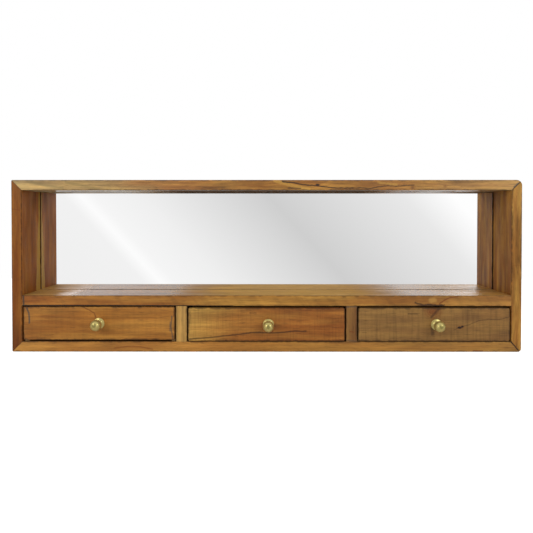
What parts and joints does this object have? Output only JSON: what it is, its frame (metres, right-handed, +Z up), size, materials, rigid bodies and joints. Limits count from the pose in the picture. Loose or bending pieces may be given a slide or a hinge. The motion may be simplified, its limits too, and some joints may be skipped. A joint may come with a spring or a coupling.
{
  "type": "mirror with drawers",
  "caption": "Long low wall mirror in a deep wooden box frame, with a shelf under the glass and a row of drawers with round brass knobs below it.",
  "frame": {"origin": "middle of the frame's underside: halfway along the width and halfway through the 100 mm depth of the boards", "axes": "+X along the width to the right seen from the front, +Y from the front to the back, +Z up"},
  "size_m": [1.2, 0.1332, 0.405],
  "materials": {
    "oiled_wood": "warm brown solid wood, worn arrises, oiled satin",
    "drawer_box_wood": "plain planed wood, unoiled",
    "plywood": "raw plywood",
    "mirror": "silvered glass",
    "brass": "polished brass, slightly aged",
    "steel": "zinc-plated steel"
  },
  "bodies": {
    "carcass": {"top_board": "oiled_wood", "bottom_board": "oiled_wood", "left_side_board": "oiled_wood", "right_side_board": "oiled_wood", "shelf_board": "oiled_wood", "left_divider": "oiled_wood", "right_divider": "oiled_wood", "mirror_glass": "mirror", "back_panel": "plywood", "back_panel_staples": "steel", "mitre_tongue_top_left": "plywood", "mitre_tongue_top_right": "plywood", "mitre_tongue_bottom_left": "plywood", "mitre_tongue_bottom_right": "plywood", "hanger_plate_left": "steel", "hanger_plate_right": "steel", "hanger_screws": "steel"},
    "left_drawer": {"left_drawer_front": "oiled_wood", "left_drawer_side_left": "drawer_box_wood", "left_drawer_side_right": "drawer_box_wood", "left_drawer_back": "drawer_box_wood", "left_drawer_bottom": "plywood", "left_drawer_brads": "steel", "left_drawer_knob": "brass", "left_drawer_knob_screw": "steel"},
    "middle_drawer": {"middle_drawer_front": "oiled_wood", "middle_drawer_side_left": "drawer_box_wood", "middle_drawer_side_right": "drawer_box_wood", "middle_drawer_back": "drawer_box_wood", "middle_drawer_bottom": "plywood", "middle_drawer_brads": "steel", "middle_drawer_knob": "brass", "middle_drawer_knob_screw": "steel"},
    "right_drawer": {"right_drawer_front": "oiled_wood", "right_drawer_side_left": "drawer_box_wood", "right_drawer_side_right": "drawer_box_wood", "right_drawer_back": "drawer_box_wood", "right_drawer_bottom": "plywood", "right_drawer_brads": "steel", "right_drawer_knob": "brass", "right_drawer_knob_screw": "steel"}
  },
  "joints": [
    {"name": "left_drawer_slide", "type": "slide", "parent": "carcass", "child": "left_drawer", "axis": [0, -1, 0], "range_m": [0, 0.065]},
    {"name": "middle_drawer_slide", "type": "slide", "parent": "carcass", "child": "middle_drawer", "axis": [0, -1, 0], "range_m": [0, 0.065]},
    {"name": "right_drawer_slide", "type": "slide", "parent": "carcass", "child": "right_drawer", "axis": [0, -1, 0], "range_m": [0, 0.065]}
  ]
}
